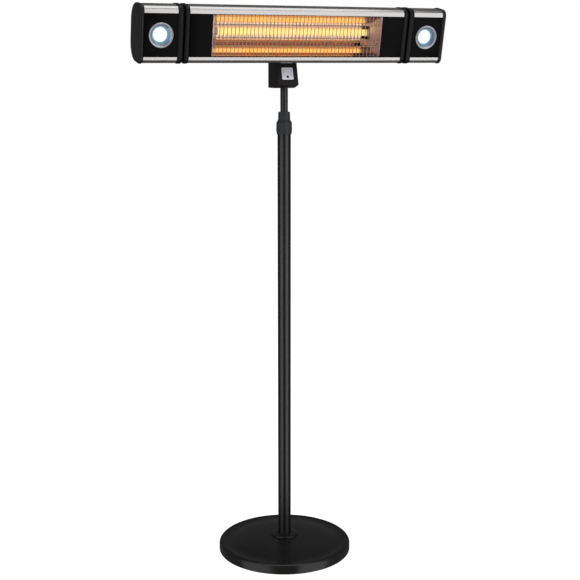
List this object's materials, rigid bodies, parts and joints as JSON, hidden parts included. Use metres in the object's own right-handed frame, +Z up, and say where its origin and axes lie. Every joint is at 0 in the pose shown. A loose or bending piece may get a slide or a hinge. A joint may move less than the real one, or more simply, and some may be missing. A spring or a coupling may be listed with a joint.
{
  "type": "patio heater",
  "caption": "Free-standing infrared patio heater: round weighted foot, telescopic pole, tilting bar-shaped head with halogen tube and wire guard, and a turning lamp module at each end.",
  "frame": {"origin": "on the floor, on the axis of the pole", "axes": "+Z up the pole, +X along the heater head, -Y is the side that heats"},
  "size_m": [0.7866, 0.348, 1.413],
  "materials": {
    "black_paint": "satin black powder coat",
    "cast_iron": "rough casting",
    "pan_steel": "galvanised",
    "fastener_steel": "zinc plated",
    "rubber": "matt",
    "collar_plastic": "fine-grained, blue-grey black",
    "guide_plastic": "satin nylon",
    "box_plastic": "fine-grained",
    "panel_film": "silver printed film",
    "indicator_blue": "clear blue lens",
    "board_green": "solder mask",
    "terminal_white": "satin nylon",
    "aluminium": "brushed along its length, clear anodised",
    "end_plastic": "satin",
    "plate_black": "smooth satin black",
    "reflector": "bright rolled, warm tint",
    "quartz": "gold-tinted clear tube",
    "filament": "emissive",
    "ceramic": "unglazed",
    "wire_steel": "bright plated",
    "bezel_grey": "silver-grey paint",
    "spot_lens": "frosted",
    "spot_board": "emissive"
  },
  "bodies": {
    "stand": {"base_cover": "black_paint", "base_pan": "pan_steel", "ballast_plate": "cast_iron", "pole_bolt": "fastener_steel", "pole_insert": "fastener_steel", "outer_tube": "black_paint", "pole_flange": "black_paint", "rubber_foot_1": "rubber", "rubber_foot_2": "rubber", "rubber_foot_3": "rubber", "rubber_foot_4": "rubber", "tube_ferrule": "guide_plastic"},
    "collar": {"clamp_collar": "collar_plastic"},
    "collet": {"split_collet": "guide_plastic"},
    "mast": {"inner_tube": "black_paint", "mast_glide": "guide_plastic", "mast_cuff": "box_plastic", "box_front": "box_plastic", "box_rear": "box_plastic", "control_panel": "panel_film", "indicator_left": "indicator_blue", "indicator_right": "indicator_blue", "control_board": "board_green", "terminal_block": "terminal_white", "tip_switch": "box_plastic", "cable_gland": "end_plastic", "tilt_yoke": "black_paint", "pivot_bolt": "fastener_steel"},
    "button": {"power_button": "end_plastic"},
    "knob": {"tilt_knob": "end_plastic"},
    "head": {"heater_shell": "aluminium", "end_ring_left": "end_plastic", "end_ring_right": "end_plastic", "front_plate_left": "plate_black", "front_plate_right": "plate_black", "reflector": "reflector", "lamp_tube": "quartz", "filament": "filament", "lamp_cap_left": "ceramic", "lamp_cap_right": "ceramic", "lamp_clip_left": "fastener_steel", "lamp_clip_right": "fastener_steel", "wire_guard": "wire_steel", "head_bracket": "black_paint", "led_driver": "terminal_white"},
    "spot_left": {"spot_shell_left": "aluminium", "spot_ring_left": "end_plastic", "end_cap_left": "end_plastic", "spot_plate_left": "plate_black", "spot_bezel_left": "bezel_grey", "spot_lens_left": "spot_lens", "spot_board_left": "spot_board"},
    "spot_right": {"spot_shell_right": "aluminium", "spot_ring_right": "end_plastic", "end_cap_right": "end_plastic", "spot_plate_right": "plate_black", "spot_bezel_right": "bezel_grey", "spot_lens_right": "spot_lens", "spot_board_right": "spot_board"}
  },
  "joints": [
    {"name": "collar_twist", "type": "hinge", "parent": "stand", "child": "collar", "pos_m": [0, 0, 1.12], "axis": [0, 0, 1], "range_deg": [0, 120]},
    {"name": "mast_swivel", "type": "hinge", "parent": "stand", "child": "collet", "pos_m": [0, 0, 1.13], "axis": [0, 0, 1], "range_deg": [-170, 170]},
    {"name": "mast_height", "type": "slide", "parent": "collet", "child": "mast", "axis": [0, 0, 1], "range_m": [-0.055, 0.55]},
    {"name": "head_tilt", "type": "hinge", "parent": "mast", "child": "head", "pos_m": [0, 0.006, 1.3], "axis": [1, 0, 0], "range_deg": [-11, 34]},
    {"name": "knob_turn", "type": "hinge", "parent": "mast", "child": "knob", "pos_m": [0, 0.006, 1.3], "axis": [1, 0, 0], "range_deg": [0, 180]},
    {"name": "button_press", "type": "slide", "parent": "mast", "child": "button", "axis": [0, 0.9685, -0.249], "range_m": [0, 0.001], "stiffness_N_per_m": 400},
    {"name": "spot_left_turn", "type": "hinge", "parent": "head", "child": "spot_left", "pos_m": [0, -0.06041, 1.34658], "axis": [1, 0, 0], "range_deg": [-90, 90]},
    {"name": "spot_right_turn", "type": "hinge", "parent": "head", "child": "spot_right", "pos_m": [0, -0.06041, 1.34658], "axis": [1, 0, 0], "range_deg": [-90, 90]}
  ]
}
